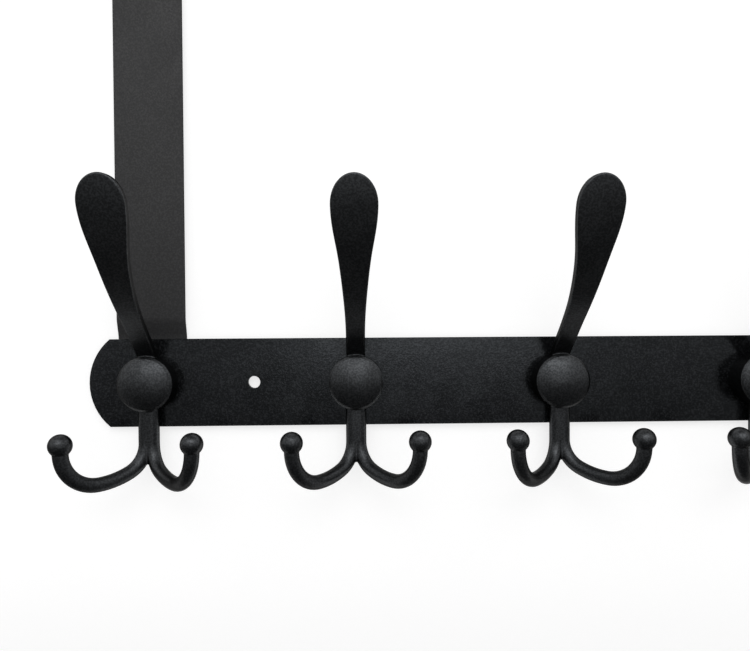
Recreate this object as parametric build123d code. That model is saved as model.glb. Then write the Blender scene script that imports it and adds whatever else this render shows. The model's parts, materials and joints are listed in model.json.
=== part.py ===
from build123d import *
import os
from math import cos, radians, sin, sqrt, tan

os.makedirs("parts", exist_ok=True)

# Millimetres. X runs along the rail, Z is up and the hooks reach out along -Y.
# The origin is the centre of the rail's back face.

# Rail
HOOK_COUNT = 5
HOOK_PITCH = 93.0
END_MARGIN = 28.0
RAIL_HEIGHT = 40.0
RAIL_THICKNESS = 2.0
END_BOW = 9.2
EDGE_BREAK = 0.3
WALL_HOLE_RADIUS = 2.75

# Straps over the door
STRAP_WIDTH = 30.8
STRAP_THICKNESS = 1.5
TAB_INSET = 5.0
STEP_ABOVE_RAIL = 1.5
STEP_RISE = 7.0
STEP_BEND_RADIUS = 8.0
DOOR_TOP = 220.0
DOOR_GAP = 45.0
DOOR_BEND_RADIUS = 3.0
BACK_DROP = 45.0
STRAP_CORNER_RADIUS = 6.0
STRAP_EDGE_ROUND = 0.2

# Hook boss, out from the rail's front face
BOSS_RADIUS = 12.1
BOSS_RIM = 10.4
RIM_BEVEL = 0.9
DOME_HEIGHT = 3.0
DOME_FLAT = 0.15

# Hook arm: a leaning blade whose spoon outline is measured along the tip's lean
ARM_ROOT_UP = 6.1
ARM_ROOT_LEAN = 49.3
ARM_BEND_OUT = 26.0
ARM_TIP_LEAN = 8.0
ARM_BEND_RADIUS = 93.0
ARM_THICKNESS = 3.4
SPOON_ALONG = 76.5
TIP_RISE = 11.4
SPOON_HALF_WIDTH = 9.05
NECK_ALONG = 24.9
NECK_HALF_WIDTH = 4.15
ARM_EDGE_ROUND = 0.65
# shares of the way down from spoon to neck, and of the width left there
FLANK = [(0.35, 0.53), (0.61, 0.21)]

# Hook stem and prongs
ROD_RADIUS = 3.1
ROD_SPREAD = 1.5
STEM_OUT = 4.0
PRONG_HEADING = 48.0
PRONG_REACH = 37.1
PRONG_DROP = 41.4
FORK_RADIUS = 12.8
FORK_TURN = 67.0
CRADLE_RADIUS = 15.5
BALL_RISE = 3.2
BALL_RADIUS = 4.7

# Blends of the casting
BOSS_BLEND = 0.5
FORK_BLEND = 0.8
NECK_BLEND = 0.8

# Countersunk screws
SCREW_RADIUS = 2.0
HEAD_RADIUS = 3.4
SCREW_IN_HOOK = 7.0
BORE_PAST_SCREW = 1.0
SCREW_CLEARANCE = 0.1
SEAT_CLEARANCE = 0.05
RECESS_WIDTH = 0.9
RECESS_LENGTH = 3.6
RECESS_DEPTH = 1.2

RAIL_LENGTH = HOOK_PITCH * (HOOK_COUNT - 1) + 2 * END_MARGIN
HOOK_PLACES = [HOOK_PITCH * (i - (HOOK_COUNT - 1) / 2) for i in range(HOOK_COUNT)]
END_PLACES = [HOOK_PLACES[0], HOOK_PLACES[-1]]
INNER_PLACES = HOOK_PLACES[1:-1]
WALL_HOLE_PLACES = [HOOK_PLACES[0] + HOOK_PITCH / 2, HOOK_PLACES[-1] - HOOK_PITCH / 2]
TAB_DROP = RAIL_HEIGHT / 2 - TAB_INSET
STEP_LOW = RAIL_HEIGHT / 2 + STEP_ABOVE_RAIL
STEP_HIGH = STEP_LOW + STEP_RISE
ARM_BEND_UP = ARM_ROOT_UP + ARM_BEND_OUT / tan(radians(ARM_ROOT_LEAN))
ARM_ALONG = SPOON_ALONG + TIP_RISE
BALL_DROP = PRONG_DROP - CRADLE_RADIUS - BALL_RISE
SIDE = Plane(origin=(0, 0, 0), x_dir=(0, -1, 0), z_dir=(-1, 0, 0))
NEAR = 0.01


def turned(points):
    """A solid turned about the Y axis from (radius, y) points."""
    with BuildSketch() as outline:
        with BuildLine():
            Polyline(*points, close=True)
        make_face()
    return revolve(outline.sketch, Axis.Y)


def screw_seat(back, depth):
    """What a countersunk screw takes out of a sheet whose back face is at the given y."""
    head = HEAD_RADIUS + SEAT_CLEARANCE
    hole = SCREW_RADIUS + SCREW_CLEARANCE
    throat = back - (head - hole)
    return turned([(0, back), (head, back), (hole, throat), (hole, back - depth), (0, back - depth)])


def make_rail():
    corner = RAIL_LENGTH / 2 - END_BOW
    half = RAIL_HEIGHT / 2
    with BuildSketch(Plane.XZ) as outline:
        with BuildLine():
            Line((-corner, half), (corner, half))
            ThreePointArc((corner, half), (RAIL_LENGTH / 2, 0), (corner, -half))
            Line((corner, -half), (-corner, -half))
            ThreePointArc((-corner, -half), (-RAIL_LENGTH / 2, 0), (-corner, half))
        make_face()
    rail = extrude(outline.sketch, RAIL_THICKNESS)
    rail = chamfer(rail.faces().sort_by(Axis.Y)[0].edges(), EDGE_BREAK)
    wall_hole = Rot(90, 0, 0) * Cylinder(WALL_HOLE_RADIUS, 4 * RAIL_THICKNESS)
    for x in WALL_HOLE_PLACES:
        rail -= Pos(x, 0, 0) * wall_hole
    short_seat = screw_seat(0, 2 * RAIL_THICKNESS)
    for x in INNER_PLACES:
        rail -= Pos(x, 0, 0) * short_seat
    long_seat = screw_seat(STRAP_THICKNESS, STRAP_THICKNESS + 2 * RAIL_THICKNESS)
    for x in END_PLACES:
        rail -= Pos(x, 0, 0) * long_seat
    return rail


def make_strap():
    """A strap about X = 0: tab behind the rail, step, front leg, bridge and back leg."""
    tab = STRAP_THICKNESS / 2
    leg = tab - RAIL_THICKNESS
    bridge = DOOR_TOP + STRAP_THICKNESS / 2
    back = STRAP_THICKNESS + DOOR_GAP + STRAP_THICKNESS / 2
    end = DOOR_TOP - BACK_DROP
    bend = DOOR_BEND_RADIUS + STRAP_THICKNESS / 2
    front_corners = [(tab, -TAB_DROP), (tab, STEP_LOW), (leg, STEP_HIGH), (leg, bridge)]
    back_corners = [(back, bridge), (back, end)]
    radii = [STEP_BEND_RADIUS, STEP_BEND_RADIUS, bend, bend]
    path = Plane.YZ * FilletPolyline(*front_corners, *back_corners, radius=radii)
    section = Pos(0, tab, -TAB_DROP) * Rectangle(STRAP_WIDTH, STRAP_THICKNESS)
    strap = sweep(section, path)
    ends = strap.edges().filter_by(Axis.Y).filter_by(lambda e: e.center().Z < end + 1)
    strap = fillet(ends, STRAP_CORNER_RADIUS)
    long_edges = strap.faces().filter_by(Axis.X).edges().filter_by(Axis.Y, reverse=True)
    strap = fillet(long_edges, STRAP_EDGE_ROUND)
    return strap - screw_seat(STRAP_THICKNESS, 2 * STRAP_THICKNESS)


def make_boss():
    """A turned drum with a bevelled rim and a ball-shaped top, flat over a speck at its middle."""
    dome = BOSS_RADIUS - RIM_BEVEL
    ball = (dome * dome + DOME_HEIGHT * DOME_HEIGHT) / (2 * DOME_HEIGHT)
    centre = BOSS_RIM + DOME_HEIGHT - ball
    half_way = centre + sqrt(ball * ball - dome * dome / 4)
    top = centre + sqrt(ball * ball - DOME_FLAT * DOME_FLAT)
    rim = [(BOSS_RADIUS, 0), (BOSS_RADIUS, RIM_BEVEL - BOSS_RIM), (dome, -BOSS_RIM)]
    with BuildSketch() as outline:
        with BuildLine():
            Polyline((DOME_FLAT, -top), (0, -top), (0, 0), *rim)
            ThreePointArc((dome, -BOSS_RIM), (dome / 2, -half_way), (DOME_FLAT, -top))
        make_face()
    return revolve(outline.sketch, Axis.Y)


def make_arm():
    """The blade's side profile, cut to the spoon outline seen square to its tip."""
    turn = ARM_ROOT_LEAN - ARM_TIP_LEAN
    root_way = Vector(sin(radians(ARM_ROOT_LEAN)), cos(radians(ARM_ROOT_LEAN)))
    tip_way = Vector(sin(radians(ARM_TIP_LEAN)), cos(radians(ARM_TIP_LEAN)))
    root_back = Vector(-root_way.Y, root_way.X) * ARM_THICKNESS
    tip_back = Vector(-tip_way.Y, tip_way.X) * ARM_THICKNESS
    root = Vector(0, ARM_ROOT_UP)
    root_top = Vector(0, ARM_ROOT_UP + ARM_THICKNESS / root_way.X)
    bend = Vector(ARM_BEND_OUT, ARM_BEND_UP)
    with BuildSketch(SIDE) as profile:
        with BuildLine():
            Line(root, bend)
            front = JernArc(bend, root_way, ARM_BEND_RADIUS, turn)
            past = max(ARM_ALONG - tip_way.dot(front @ 1), 0) + ARM_THICKNESS
            tip = front @ 1 + tip_way * past
            Polyline(front @ 1, tip, tip + tip_back)
            back = JernArc(bend + root_back, root_way, ARM_BEND_RADIUS - ARM_THICKNESS, turn)
            Line(tip + tip_back, back @ 1)
            Polyline(bend + root_back, root_top, root)
        make_face()
    blade = extrude(profile.sketch, 2 * SPOON_HALF_WIDTH, both=True)
    flank = [(SPOON_HALF_WIDTH, SPOON_ALONG)]
    for down, wide in FLANK:
        half_width = NECK_HALF_WIDTH + wide * (SPOON_HALF_WIDTH - NECK_HALF_WIDTH)
        flank.append((half_width, SPOON_ALONG - down * (SPOON_ALONG - NECK_ALONG)))
    flank.append((NECK_HALF_WIDTH, NECK_ALONG))
    square = Plane(origin=(0, 0, 0), x_dir=(1, 0, 0), z_dir=(0, -tip_way.Y, -tip_way.X))
    with BuildSketch(square) as spoon:
        with BuildLine():
            for s in (-1, 1):
                Spline(*[(s * x, y) for x, y in flank], tangents=[(0, -1), (0, -1)])
                Line((s * NECK_HALF_WIDTH, NECK_ALONG), (s * NECK_HALF_WIDTH, 0))
            Line((-NECK_HALF_WIDTH, 0), (NECK_HALF_WIDTH, 0))
            EllipticalCenterArc((0, SPOON_ALONG), SPOON_HALF_WIDTH, TIP_RISE, arc_size=180)
        make_face()
    arm = blade & extrude(spoon.sketch, 2 * ARM_ALONG, both=True)
    across = Axis(square.origin, square.z_dir)
    rim = arm.edges().filter_by(Axis.X, reverse=True).filter_by(across, reverse=True)
    rim = rim.filter_by(lambda e: e.center().Y < -NEAR)
    return fillet(rim, ARM_EDGE_ROUND)


def bed_radius():
    """The radius of a prong's long bottom curve, from what the two tighter bends leave of its reach."""
    fork_reach = FORK_RADIUS * (1 - cos(radians(FORK_TURN)))
    return (PRONG_REACH - fork_reach - CRADLE_RADIUS) / cos(radians(FORK_TURN))


def stem_drop():
    """How far below the boss's axis the prongs part."""
    bed_drop = bed_radius() * (1 - sin(radians(FORK_TURN)))
    return PRONG_DROP - bed_drop - FORK_RADIUS * sin(radians(FORK_TURN))


def make_prong(side):
    """One J from the foot of the stem: fork, bed and cradle arcs in an upright plane, ending in a ball."""
    with BuildLine() as line:
        fork = JernArc((0, -stem_drop()), (0, -1), FORK_RADIUS, FORK_TURN)
        bed = JernArc(fork @ 1, fork % 1, bed_radius(), 90 - FORK_TURN)
        cradle = JernArc(bed @ 1, bed % 1, CRADLE_RADIUS, 90)
        Line(cradle @ 1, (PRONG_REACH, -BALL_DROP))
    ahead = Vector(side * cos(radians(PRONG_HEADING)), -sin(radians(PRONG_HEADING)))
    start = (side * ROD_SPREAD, -STEM_OUT, 0)
    upright = Plane(origin=start, x_dir=ahead, z_dir=ahead.cross(Vector(0, 0, 1)))
    path = upright * line.line
    section = Plane(origin=path @ 0, z_dir=path % 0) * Circle(ROD_RADIUS)
    return sweep(section, path) + Pos(path @ 1) * Sphere(BALL_RADIUS)


def edges_where(shape, test):
    """The edges whose points near both ends and at the middle all pass a test."""
    return [e for e in shape.edges() if all(test(e @ t) for t in (0.1, 0.5, 0.9))]


def on_boss_side(p):
    return (
        abs(sqrt(p.X * p.X + p.Z * p.Z) - BOSS_RADIUS) < NEAR
        and abs(p.Z) > BOSS_RADIUS / 2
        and RIM_BEVEL - BOSS_RIM + NEAR < p.Y < -NEAR
    )


def make_hook():
    """A hook casting with its back on the XZ plane and its boss on the Y axis."""
    foot = stem_drop()
    stem = Pos(0, -STEM_OUT, -foot) * extrude(SlotCenterToCenter(2 * ROD_SPREAD, 2 * ROD_RADIUS), foot)
    hook = make_boss() + make_arm() + stem + make_prong(-1) + make_prong(1)
    hook = fillet(edges_where(hook, on_boss_side), BOSS_BLEND)
    hook = fillet(edges_where(hook, lambda p: abs(p.X) < NEAR and p.Z < -foot), FORK_BLEND)
    neck = -BALL_DROP - sqrt(BALL_RADIUS * BALL_RADIUS - ROD_RADIUS * ROD_RADIUS)
    hook = fillet(edges_where(hook, lambda p: abs(p.Z - neck) < NEAR), NECK_BLEND)
    depth = SCREW_IN_HOOK + BORE_PAST_SCREW
    return hook - Rot(90, 0, 0) * Cylinder(SCREW_RADIUS + SCREW_CLEARANCE, 2 * depth)


def make_screw(back, tip):
    """A countersunk screw along Y with its head flush at one y and its end at another."""
    throat = back - (HEAD_RADIUS - SCREW_RADIUS)
    screw = turned([(0, back), (HEAD_RADIUS, back), (SCREW_RADIUS, throat), (SCREW_RADIUS, tip), (0, tip)])
    for turn in (0, 90):
        screw -= Pos(0, back, 0) * Rot(0, turn, 0) * Box(RECESS_LENGTH, 2 * RECESS_DEPTH, RECESS_WIDTH)
    return screw


def save(name, shape):
    export_step(shape, f"parts/{name}.step")


save("rail", make_rail())
strap = make_strap()
for name, x in zip(("strap_left", "strap_right"), END_PLACES):
    save(name, Pos(x, 0, 0) * strap)
hook = make_hook()
for number, x in enumerate(HOOK_PLACES, 1):
    save(f"tri_hook_{number}", Pos(x, -RAIL_THICKNESS, 0) * hook)
screw_tip = -RAIL_THICKNESS - SCREW_IN_HOOK
short_screw = make_screw(0, screw_tip)
save("hook_screws", Compound(children=[Pos(x, 0, 0) * short_screw for x in INNER_PLACES]))
long_screw = make_screw(STRAP_THICKNESS, screw_tip)
save("strap_screws", Compound(children=[Pos(x, 0, 0) * long_screw for x in END_PLACES]))
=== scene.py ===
import json
from math import pi, radians

import bpy
from bpy.props import FloatProperty, FloatVectorProperty, PointerProperty
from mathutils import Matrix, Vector

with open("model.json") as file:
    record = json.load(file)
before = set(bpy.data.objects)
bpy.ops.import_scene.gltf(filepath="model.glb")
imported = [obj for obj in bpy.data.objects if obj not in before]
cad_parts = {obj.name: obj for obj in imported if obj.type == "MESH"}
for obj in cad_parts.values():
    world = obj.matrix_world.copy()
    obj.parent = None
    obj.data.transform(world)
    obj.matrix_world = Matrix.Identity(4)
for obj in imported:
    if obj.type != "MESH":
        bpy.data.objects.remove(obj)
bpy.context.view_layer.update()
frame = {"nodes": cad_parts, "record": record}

bl_info = {
    "name": "Door hook rack",
    "version": (1, 0, 0),
    "blender": (4, 5, 0),
    "location": "View3D > Sidebar > Hook rack",
    "description": "Coats the pieces of a door hook rack and sets its stage",
    "category": "Object",
}

RAIL_NODES = ["rail"]
STRAP_NODES = sorted(n for n in frame["nodes"] if n.startswith("strap_") and "screws" not in n)
HOOK_NODES = sorted(n for n in frame["nodes"] if n.startswith("tri_hook_"))
SCREW_NODES = sorted(n for n in frame["nodes"] if n.endswith("_screws"))
MOUNTS = {mount["name"]: mount for mount in frame["record"]["mounts"]}
DOOR_FACE = MOUNTS["door_face_left"]["pos_m"][1]
DOOR_TOP = MOUNTS["door_top_left"]["pos_m"][2]

MILLIMETRE = 0.001
WALL_CLEARANCE = 0.1 * MILLIMETRE  # from the wall's top edge up to the straps
UPRIGHT = (radians(90), 0, 0)
LEVEL = (0, 0, 0)
SENSOR_WIDTH = 36  # millimetres
NEAREST_SEEN = 0.01

# Spans of a noise over which a grain, fleck or patch comes in
GLINT_SPAN = (0.35, 0.65)
FLECK_SPAN = (0.5, 0.7)
CLOUD_SPAN = (0.3, 0.7)
TARNISH_SPAN = (0, 1)
# Span from face on (0) to grazing (1) over which a coating loses its gloss
GRAZING_SPAN = (0.22, 0.62)
# Heights between which the wall's lift falls off towards its foot, as painted shade
WALL_PAINTED_SHADE_SPAN = (-0.13, -0.06)
# Sines of the elevations between which the room's light changes
GROUND_SPAN = (-0.8, -0.12)
HORIZON_SPAN = (-0.12, 0.08)
HALF_WAY_SPAN = (0.1, 0.6)
OVERHEAD_SPAN = (0.7, 0.95)


def colour_property(name, description, default):
    return FloatVectorProperty(
        name=name, description=description, default=default, subtype="COLOR", min=0, max=1
    )


def share_property(name, description, default):
    return FloatProperty(
        name=name, description=description, default=default, subtype="FACTOR", min=0, max=1
    )


def length_property(name, description, default):
    return FloatProperty(
        name=name, description=description, default=default,
        unit="LENGTH", subtype="DISTANCE", precision=5,
    )


def place_property(name, description, default):
    return FloatVectorProperty(
        name=name, description=description, default=default,
        unit="LENGTH", subtype="TRANSLATION", precision=5,
    )


def glow_property(name, description, default):
    return FloatProperty(name=name, description=description, default=default, unit="NONE", min=0)


class RailFinish(bpy.types.PropertyGroup):
    """Satin black coating of the rail."""

    black: colour_property("Black", "Colour of the coating", (0.0020, 0.0021, 0.0023))
    fleck: colour_property("Fleck", "Colour of the paler grains", (0.0110, 0.0116, 0.0126))
    sheen: colour_property("Sheen", "Tint of the reflections", (0.87, 0.935, 1.0))
    gloss: share_property("Gloss", "Strength of the reflections", 0.5)
    roughness: share_property("Roughness", "Mean roughness of the coating", 0.2)
    grain: share_property("Grain", "Share of the full grain on this piece", 0.7)


class StrapFinish(bpy.types.PropertyGroup):
    """Dull charcoal coating of the straps."""

    black: colour_property("Black", "Colour of the coating", (0.0283, 0.0283, 0.0293))
    fleck: colour_property("Fleck", "Colour of the paler grains", (0.0335, 0.0335, 0.0345))
    sheen: colour_property("Sheen", "Tint of the reflections", (1.0, 1.0, 1.0))
    gloss: share_property("Gloss", "Strength of the reflections", 0.3)
    roughness: share_property("Roughness", "Mean roughness of the coating", 0.5)
    grain: share_property("Grain", "Share of the full grain on this piece", 0.7)


class HookFinish(bpy.types.PropertyGroup):
    """Satin black coating of the cast hooks."""

    black: colour_property("Black", "Colour of the coating", (0.0020, 0.0021, 0.0022))
    fleck: colour_property("Fleck", "Colour of the paler grains", (0.005, 0.0052, 0.0056))
    sheen: colour_property("Sheen", "Tint of the reflections", (0.9, 0.945, 1.0))
    gloss: share_property("Gloss", "Strength of the reflections", 0.7)
    roughness: share_property("Roughness", "Mean roughness of the coating", 0.39)
    grain: share_property("Grain", "Share of the full grain on this piece", 1.0)


class RackCoating(bpy.types.PropertyGroup):
    """Texture that the coatings share."""

    roughness_swing: share_property("Roughness swing", "How far the roughness wanders", 0.05)
    gloss_swing: share_property("Gloss swing", "How far the grains differ in gloss", 0.26)
    edge_gloss: share_property("Edge gloss", "Share of the gloss left at grazing angles", 0.03)
    grain_size: length_property("Grain size", "Width of one grain", 0.75 * MILLIMETRE)
    grain_height: length_property("Grain height", "Height of the grains", 0.035 * MILLIMETRE)
    peel_size: length_property("Peel size", "Width of the waves under the grain", 2.4 * MILLIMETRE)
    peel_height: length_property("Peel height", "Height of the waves", 0.02 * MILLIMETRE)
    cloud_size: length_property("Cloud size", "Width of the duller patches", 16 * MILLIMETRE)


class RackSteel(bpy.types.PropertyGroup):
    """Zinc plating of the countersunk screws."""

    zinc: colour_property("Zinc", "Colour of the plating", (0.55, 0.56, 0.57))
    tarnish: colour_property("Tarnish", "Colour of the dulled patches", (0.36, 0.36, 0.35))
    roughness: share_property("Roughness", "Mean roughness of the plating", 0.34)
    roughness_swing: share_property("Roughness swing", "How far the roughness wanders", 0.1)
    patch_size: length_property("Patch size", "Width of a dulled patch", 1.6 * MILLIMETRE)


class RackStage(bpy.types.PropertyGroup):
    """Wall, floor, lamps, room light and camera."""

    wall_grey: colour_property("Wall grey", "Colour of the wall", (0.43, 0.43, 0.43))
    wall_lift: share_property("Wall lift", "Light added to the wall where it is seen", 0.7)
    # Painted shade: the share of the wall's lift taken off at its foot, so the wall is darker
    # towards the bottom
    wall_foot_painted_shade: share_property("Wall fall", "Share of that light lost at the wall's foot", 0.08)
    floor_white: colour_property("Floor white", "Colour of the floor", (0.65, 0.65, 0.65))
    wall_width: length_property("Wall width", "Width of the wall", 0.62)
    floor_width: length_property("Floor width", "Side of the square floor", 6.0)
    floor_drop: length_property("Floor drop", "Height of the rail's axis above the floor", 0.145)
    window_place: place_property("Window place", "Centre of the lamp in front", (0.1, -1.6, 0.16))
    window_width: length_property("Window width", "Width of the lamp in front", 0.8)
    window_height: length_property("Window height", "Height of the lamp in front", 0.42)
    window_glow: glow_property("Window glow", "Brightness of the lamp in front", 0.95)
    key_place: place_property("Key place", "Centre of the lamp above", (-0.05, -1.19, 1.1))
    key_width: length_property("Key width", "Width of the lamp above", 1.5)
    key_height: length_property("Key height", "Height of the lamp above", 0.95)
    key_glow: glow_property("Key glow", "Brightness of the lamp above", 1.7)
    room_floor: glow_property("Room floor", "Light from the room's floor", 0.07)
    room_low: glow_property("Room low", "Light from just below the horizon", 0.2)
    room_level: glow_property("Room level", "Light from just above the horizon", 0.7)
    room_high: glow_property("Room high", "Light from half-way up", 1.1)
    room_top: glow_property("Room top", "Light from overhead", 0.2)
    camera_place: place_property(
        "Camera place", "Where the camera stands", (-0.09193, -0.28322, 0.02151)
    )
    camera_turn: FloatVectorProperty(
        name="Camera turn", description="How the camera is turned",
        default=(radians(88.996), radians(0.366), radians(-1.596)),
        unit="ROTATION", subtype="EULER",
    )
    camera_lens: FloatProperty(
        name="Lens", description="Focal length", default=29.4, unit="CAMERA"
    )
    camera_rise: share_property("Rise", "Upward shift of the frame, in sensor widths", 0.026)


class RackSettings(bpy.types.PropertyGroup):
    """Everything that the panel shows."""

    rail: PointerProperty(type=RailFinish)
    strap: PointerProperty(type=StrapFinish)
    hook: PointerProperty(type=HookFinish)
    coating: PointerProperty(type=RackCoating)
    steel: PointerProperty(type=RackSteel)
    stage: PointerProperty(type=RackStage)


class Nodes:
    """A short way to add and join shader nodes in an emptied tree."""

    def __init__(self, tree):
        self.tree = tree
        self.tree.nodes.clear()

    def add(self, kind, **inputs):
        node = self.tree.nodes.new(kind)
        for name, value in inputs.items():
            node.inputs[name.replace("_", " ")].default_value = value
        return node

    def join(self, source, target):
        self.tree.links.new(source, target)

    def end(self, shader, kind="ShaderNodeOutputMaterial"):
        self.join(shader, self.add(kind).inputs["Surface"])

    def noise(self, place, size, detail):
        noise = self.add("ShaderNodeTexNoise", Scale=1 / size, Detail=detail)
        self.join(place, noise.inputs["Vector"])
        return noise.outputs["Fac"]

    def range(self, source, span, at_start, at_end):
        """Go smoothly from one value to another while the source crosses the span."""
        start, end = span
        ranged = self.add(
            "ShaderNodeMapRange", From_Min=start, From_Max=end, To_Min=at_start, To_Max=at_end
        )
        ranged.interpolation_type = "SMOOTHSTEP"
        self.join(source, ranged.inputs["Value"])
        return ranged.outputs["Result"]

    def mix(self, share, first, second):
        mix = self.tree.nodes.new("ShaderNodeMix")
        mix.data_type = "RGBA"
        colours = [socket for socket in mix.inputs if socket.type == "RGBA"]
        colours[0].default_value = (*first, 1)
        colours[1].default_value = (*second, 1)
        self.join(share, mix.inputs["Factor"])
        return next(socket for socket in mix.outputs if socket.type == "RGBA")

    def math(self, operation, first, second):
        math = self.tree.nodes.new("ShaderNodeMath")
        math.operation = operation
        self.join(first, math.inputs[0])
        self.join(second, math.inputs[1])
        return math.outputs["Value"]

    def bump(self, height, distance, below=None):
        bump = self.add("ShaderNodeBump", Strength=1.0, Distance=distance)
        self.join(height, bump.inputs["Height"])
        if below is not None:
            self.join(below, bump.inputs["Normal"])
        return bump.outputs["Normal"]


def new_material(name):
    material = bpy.data.materials.new(name)
    material.use_nodes = True
    return material, Nodes(material.node_tree)


def powder_coat(name, finish, texture):
    """Grains that differ in gloss, a few of them paler, on slow waves; less gloss when grazed."""
    material, nodes = new_material(name)
    place = nodes.add("ShaderNodeTexCoord").outputs["Object"]
    grain = nodes.noise(place, texture.grain_size, detail=1)
    peel = nodes.noise(place, texture.peel_size, detail=2)
    cloud = nodes.noise(place, texture.cloud_size, detail=3)

    # The glossiest grains set the level, and the tint takes the others down from it. The level's
    # socket has a value of its own too, for an export that drops its link.
    swing = texture.gloss_swing * finish.grain
    gloss = finish.gloss * (1 + swing)
    surface = nodes.add("ShaderNodeBsdfPrincipled", Specular_IOR_Level=gloss)
    dim_sheen = [tone * (1 - swing) / (1 + swing) for tone in finish.sheen]
    glints = nodes.range(grain, GLINT_SPAN, 0, 1)
    nodes.join(nodes.mix(glints, dim_sheen, finish.sheen), surface.inputs["Specular Tint"])
    facing = nodes.add("ShaderNodeLayerWeight").outputs["Facing"]
    level = nodes.range(facing, GRAZING_SPAN, gloss, gloss * texture.edge_gloss)
    nodes.join(level, surface.inputs["Specular IOR Level"])

    flecks = nodes.range(grain, FLECK_SPAN, 0, 1)
    nodes.join(nodes.mix(flecks, finish.black, finish.fleck), surface.inputs["Base Color"])
    shine = finish.roughness - texture.roughness_swing
    dull = finish.roughness + texture.roughness_swing
    nodes.join(nodes.range(cloud, CLOUD_SPAN, shine, dull), surface.inputs["Roughness"])
    waves = nodes.bump(peel, texture.peel_height)
    sand = nodes.bump(grain, texture.grain_height * finish.grain, waves)
    nodes.join(sand, surface.inputs["Normal"])
    nodes.end(surface.outputs["BSDF"])
    return material


def zinc_plate(name, look):
    """Zinc with duller patches."""
    material, nodes = new_material(name)
    place = nodes.add("ShaderNodeTexCoord").outputs["Object"]
    patches = nodes.noise(place, look.patch_size, detail=4)
    surface = nodes.add("ShaderNodeBsdfPrincipled", Metallic=1.0)
    nodes.join(nodes.mix(patches, look.zinc, look.tarnish), surface.inputs["Base Color"])
    shine = look.roughness - look.roughness_swing
    dull = look.roughness + look.roughness_swing
    nodes.join(nodes.range(patches, TARNISH_SPAN, shine, dull), surface.inputs["Roughness"])
    nodes.end(surface.outputs["BSDF"])
    return material


def dress(node_names, material):
    """Put the material in every slot of the nodes' meshes."""
    slots = [slot for name in node_names for slot in frame["nodes"][name].material_slots]
    if not slots:
        raise RuntimeError(f"no mesh takes the material {material.name}")
    for slot in slots:
        slot.material = material


class RACK_OT_coat_rail(bpy.types.Operator):
    """Coat the rail"""

    bl_idname = "rack.coat_rail"
    bl_label = "Coat rail"

    def execute(self, context):
        rack = context.scene.rack
        dress(RAIL_NODES, powder_coat("rail_coating", rack.rail, rack.coating))
        return {"FINISHED"}


class RACK_OT_coat_straps(bpy.types.Operator):
    """Coat the straps that go over the door"""

    bl_idname = "rack.coat_straps"
    bl_label = "Coat straps"

    def execute(self, context):
        rack = context.scene.rack
        dress(STRAP_NODES, powder_coat("strap_coating", rack.strap, rack.coating))
        return {"FINISHED"}


class RACK_OT_coat_hooks(bpy.types.Operator):
    """Coat the cast hooks"""

    bl_idname = "rack.coat_hooks"
    bl_label = "Coat hooks"

    def execute(self, context):
        rack = context.scene.rack
        dress(HOOK_NODES, powder_coat("hook_coating", rack.hook, rack.coating))
        return {"FINISHED"}


class RACK_OT_plate_screws(bpy.types.Operator):
    """Plate the countersunk screws"""

    bl_idname = "rack.plate_screws"
    bl_label = "Plate screws"

    def execute(self, context):
        dress(SCREW_NODES, zinc_plate("screw_zinc", context.scene.rack.steel))
        return {"FINISHED"}


def add_plane(name, width, height, centre, turn):
    """A flat piece of the stage, with its object coordinates in the shared frame."""
    bpy.ops.mesh.primitive_plane_add(size=1, location=centre, rotation=turn)
    plane = bpy.context.object
    plane.name = name
    plane.scale = (width, height, 1)
    bpy.ops.object.transform_apply(location=True, rotation=True, scale=True)
    return plane


def height_in(nodes, output):
    """The upward part of a coordinate: a height on a wall, the sine of an elevation in a world."""
    parts = nodes.add("ShaderNodeSeparateXYZ")
    nodes.join(nodes.add("ShaderNodeTexCoord").outputs[output], parts.inputs["Vector"])
    return parts.outputs["Z"]


def wall_paint(look):
    """Grey, lifted to white where it is seen, a little less at its foot as painted shade; clear
    from behind.
    """
    material, nodes = new_material("wall_paint")
    front = nodes.add("ShaderNodeBsdfDiffuse", Color=(*look.wall_grey, 1))
    path = nodes.add("ShaderNodeLightPath")
    seen = nodes.math("ADD", path.outputs["Is Camera Ray"], path.outputs["Is Glossy Ray"])
    seen = nodes.math("ADD", seen, path.outputs["Is Transmission Ray"])
    # Painted shade: the lift, and so the wall, is darker towards its foot
    foot = look.wall_lift * (1 - look.wall_foot_painted_shade)
    lift = nodes.range(height_in(nodes, "Object"), WALL_PAINTED_SHADE_SPAN, foot, look.wall_lift)
    glow = nodes.add("ShaderNodeEmission")
    nodes.join(nodes.math("MULTIPLY", seen, lift), glow.inputs["Strength"])
    lifted = nodes.add("ShaderNodeAddShader")
    nodes.join(front.outputs["BSDF"], lifted.inputs[0])
    nodes.join(glow.outputs["Emission"], lifted.inputs[1])
    behind = nodes.add("ShaderNodeBsdfTransparent")
    mix = nodes.add("ShaderNodeMixShader")
    nodes.join(nodes.add("ShaderNodeNewGeometry").outputs["Backfacing"], mix.inputs["Fac"])
    nodes.join(lifted.outputs["Shader"], mix.inputs[1])
    nodes.join(behind.outputs["BSDF"], mix.inputs[2])
    nodes.end(mix.outputs["Shader"])
    return material


def floor_paint(look):
    material, nodes = new_material("floor_paint")
    surface = nodes.add("ShaderNodeBsdfDiffuse", Color=(*look.floor_white, 1))
    nodes.end(surface.outputs["BSDF"])
    return material


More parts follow.
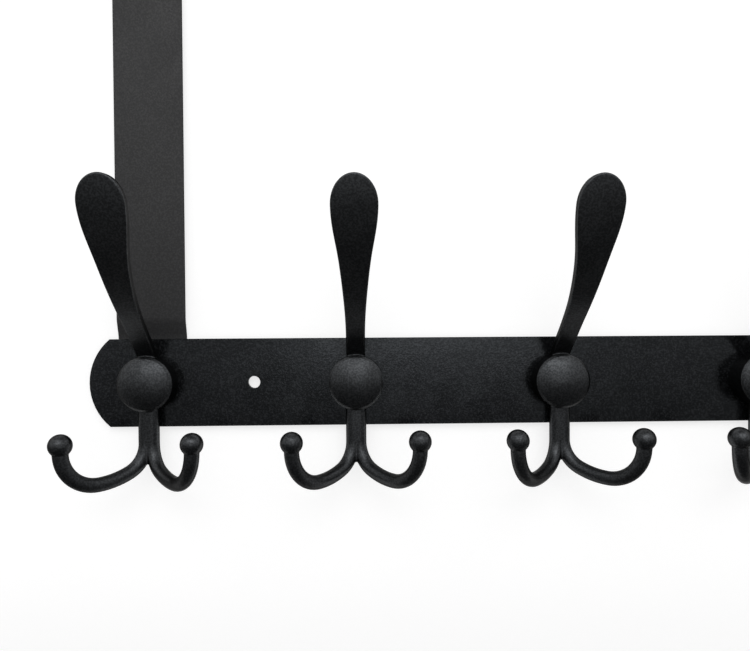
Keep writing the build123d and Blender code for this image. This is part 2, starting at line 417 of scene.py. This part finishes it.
def room_light(look):
    """A room that is dim below the horizon and overhead, and brightest half-way up."""
    world = bpy.data.worlds.new("room")
    world.use_nodes = True
    nodes = Nodes(world.node_tree)
    light = nodes.add("ShaderNodeBackground")
    height = height_in(nodes, "Generated")
    strength = nodes.range(height, GROUND_SPAN, look.room_floor, look.room_low)
    for span, below, above in (
        (HORIZON_SPAN, look.room_low, look.room_level),
        (HALF_WAY_SPAN, look.room_level, look.room_high),
        (OVERHEAD_SPAN, look.room_high, look.room_top),
    ):
        step = nodes.range(height, span, 0, above - below)
        strength = nodes.math("ADD", strength, step)
    nodes.join(strength, light.inputs["Strength"])
    nodes.end(light.outputs["Background"], "ShaderNodeOutputWorld")
    bpy.context.scene.world = world


def add_lamp(name, place, width, height, glow, aim):
    """A rectangular lamp of a given brightness that faces a point."""
    bpy.ops.object.light_add(type="AREA", location=place)
    lamp = bpy.context.object
    lamp.name = name
    lamp.data.shape = "RECTANGLE"
    lamp.data.size = width
    lamp.data.size_y = height
    lamp.data.energy = glow * pi * width * height
    lamp.visible_camera = False
    lamp.rotation_euler = (Vector(aim) - Vector(place)).to_track_quat("-Z", "Y").to_euler()


def add_camera(look):
    bpy.ops.object.camera_add(location=look.camera_place, rotation=look.camera_turn)
    camera = bpy.context.object
    camera.name = "photo_camera"
    camera.data.sensor_width = SENSOR_WIDTH
    camera.data.lens = look.camera_lens
    camera.data.shift_y = look.camera_rise
    camera.data.clip_start = NEAREST_SEEN
    bpy.context.scene.camera = camera


class RACK_OT_set_stage(bpy.types.Operator):
    """Set the wall, floor, lamps, room light and camera"""

    bl_idname = "rack.set_stage"
    bl_label = "Set stage"

    def execute(self, context):
        look = context.scene.rack.stage
        bpy.ops.object.select_all(action="DESELECT")
        top = DOOR_TOP - WALL_CLEARANCE
        height = top + look.floor_drop
        centre = (0, DOOR_FACE, top - height / 2)
        wall = add_plane("wall", look.wall_width, height, centre, UPRIGHT)
        wall.data.materials.append(wall_paint(look))
        below = (0, 0, -look.floor_drop)
        floor = add_plane("floor", look.floor_width, look.floor_width, below, LEVEL)
        floor.data.materials.append(floor_paint(look))
        floor.visible_glossy = False  # the hooks' undersides mirror the dim room instead
        room_light(look)
        ahead = (look.window_place[0], 0, look.window_place[2])
        add_lamp(
            "window", look.window_place, look.window_width, look.window_height,
            look.window_glow, ahead,
        )
        rail_axis = (look.key_place[0], 0, 0)
        add_lamp("key", look.key_place, look.key_width, look.key_height, look.key_glow, rail_axis)
        add_camera(look)
        context.scene.view_settings.view_transform = "Standard"
        return {"FINISHED"}


class RACK_PT_panel(bpy.types.Panel):
    """Looks of the hook rack"""

    bl_idname = "RACK_PT_panel"
    bl_label = "Hook rack"
    bl_space_type = "VIEW_3D"
    bl_region_type = "UI"
    bl_category = "Hook rack"

    def draw(self, context):
        for operator in OPERATORS:
            self.layout.operator(operator.bl_idname)
        for group in RackSettings.__annotations__:
            look = getattr(context.scene.rack, group)
            box = self.layout.box()
            for name in look.__annotations__:
                box.prop(look, name)


OPERATORS = (
    RACK_OT_coat_rail,
    RACK_OT_coat_straps,
    RACK_OT_coat_hooks,
    RACK_OT_plate_screws,
    RACK_OT_set_stage,
)
CLASSES = (
    RailFinish,
    StrapFinish,
    HookFinish,
    RackCoating,
    RackSteel,
    RackStage,
    RackSettings,
    *OPERATORS,
    RACK_PT_panel,
)


def register():
    for made in CLASSES:
        bpy.utils.register_class(made)
    bpy.types.Scene.rack = PointerProperty(type=RackSettings)


def unregister():
    del bpy.types.Scene.rack
    for made in reversed(CLASSES):
        bpy.utils.unregister_class(made)


def main():
    """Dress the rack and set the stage."""
    register()
    bpy.ops.rack.coat_rail()
    bpy.ops.rack.coat_straps()
    bpy.ops.rack.coat_hooks()
    bpy.ops.rack.plate_screws()
    bpy.ops.rack.set_stage()


if __name__ == "__main__":
    main()
